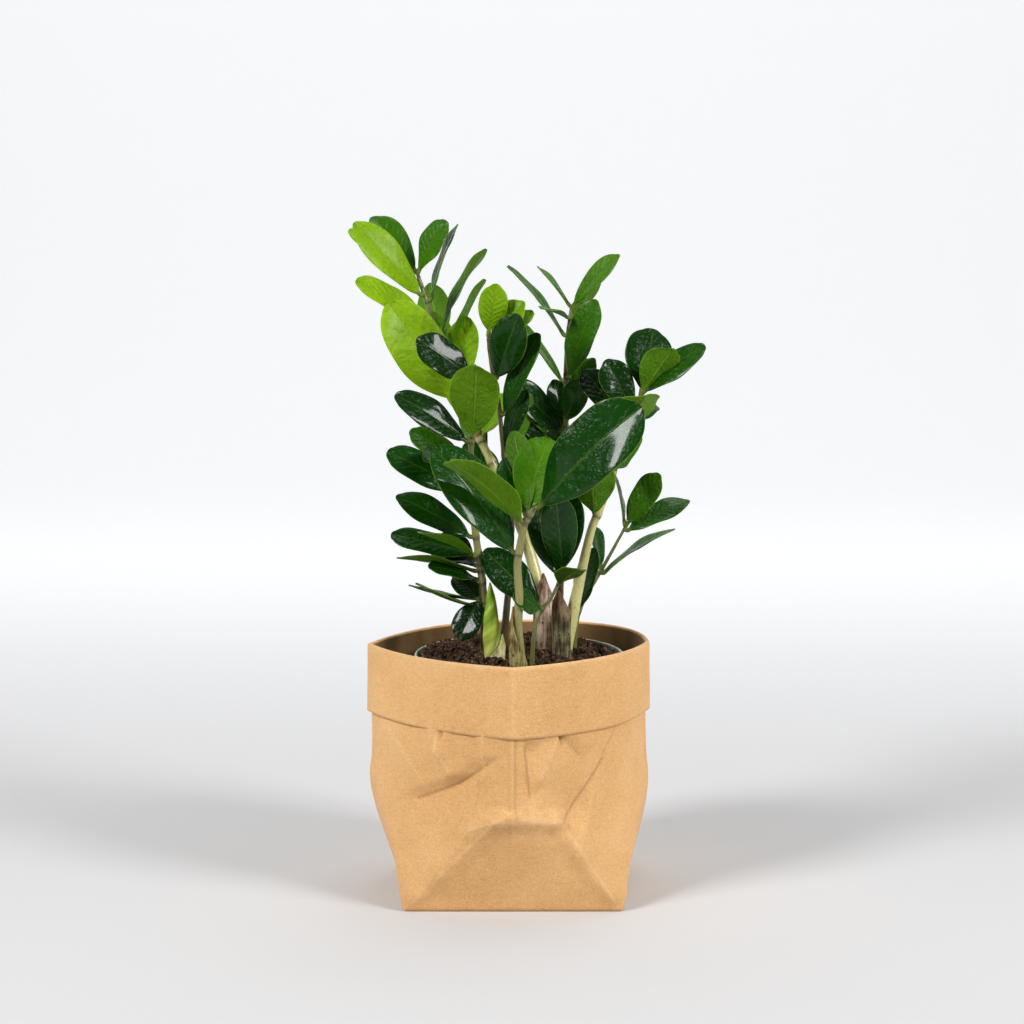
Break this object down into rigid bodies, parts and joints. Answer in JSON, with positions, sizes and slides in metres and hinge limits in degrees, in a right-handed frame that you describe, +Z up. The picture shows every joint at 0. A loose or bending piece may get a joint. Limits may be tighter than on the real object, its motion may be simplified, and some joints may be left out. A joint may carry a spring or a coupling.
{
  "type": "potted zz plant",
  "caption": "Small zz plant with glossy paired leaflets on upright fleshy stalks, in a nursery pot set inside a folded kraft paper bag planter with a turned-down cuff.",
  "frame": {"origin": "centre of the paper bag's square base, on the surface it stands on", "axes": "+Z up, -Y towards the front of the bag, +X to the right seen from the front"},
  "size_m": [0.17, 0.1416, 0.3269],
  "materials": {
    "kraft_paper": "matte",
    "pot_plastic": "satin",
    "potting_soil": "matte",
    "stalk": "satin",
    "dry_sheath": "matte",
    "pale_sheath": "satin",
    "new_shoot": "satin",
    "young_leaf": "gloss",
    "mid_leaf": "satin",
    "mature_leaf": "gloss"
  },
  "bodies": {
    "root": {"back_frond_leaf_1": "mid_leaf", "back_frond_leaf_2": "mid_leaf", "back_frond_leaf_3": "mid_leaf", "back_frond_leaf_4": "mature_leaf", "back_frond_leaf_5": "mature_leaf", "back_frond_stem": "stalk", "bark_sheath": "dry_sheath", "centre_frond_leaf_1": "young_leaf", "centre_frond_leaf_2": "young_leaf", "centre_frond_leaf_3": "mature_leaf", "centre_frond_leaf_4": "mature_leaf", "centre_frond_stem": "stalk", "front_frond_leaf_1": "mature_leaf", "front_frond_leaf_2": "mid_leaf", "front_frond_leaf_3": "mid_leaf", "front_frond_leaf_4": "mature_leaf", "front_frond_stem": "stalk", "front_sheath": "dry_sheath", "grey_sheath": "dry_sheath", "left_frond_leaf_1": "mature_leaf", "left_frond_leaf_2": "mature_leaf", "left_frond_leaf_3": "mid_leaf", "left_frond_leaf_4": "mature_leaf", "left_frond_leaf_5": "mature_leaf", "left_frond_leaf_6": "mid_leaf", "left_frond_leaf_7": "mature_leaf", "left_frond_leaf_8": "mature_leaf", "left_frond_leaf_9": "mature_leaf", "left_frond_stem": "stalk", "low_sprig_leaf_1": "mature_leaf", "low_sprig_leaf_2": "mature_leaf", "low_sprig_leaf_3": "mature_leaf", "low_sprig_stem": "stalk", "new_shoot": "new_shoot", "nursery_pot": "pot_plastic", "paper_bag": "kraft_paper", "right_frond_leaf_1": "mature_leaf", "right_frond_leaf_2": "mature_leaf", "right_frond_leaf_3": "mature_leaf", "right_frond_leaf_4": "mid_leaf", "right_frond_leaf_5": "mid_leaf", "right_frond_leaf_6": "mid_leaf", "right_frond_stem": "stalk", "shoot_sheath": "pale_sheath", "side_sprig_leaf_1": "mature_leaf", "side_sprig_leaf_2": "mature_leaf", "side_sprig_leaf_3": "mature_leaf", "side_sprig_leaf_4": "mature_leaf", "side_sprig_stem": "stalk", "soil": "potting_soil", "tall_frond_leaf_1": "mature_leaf", "tall_frond_leaf_2": "young_leaf", "tall_frond_leaf_3": "young_leaf", "tall_frond_leaf_4": "young_leaf", "tall_frond_leaf_5": "young_leaf", "tall_frond_leaf_6": "mid_leaf", "tall_frond_leaf_7": "mature_leaf", "tall_frond_leaf_8": "mature_leaf", "tall_frond_leaf_9": "mature_leaf", "tall_frond_stem": "stalk"}
  },
  "joints": []
}
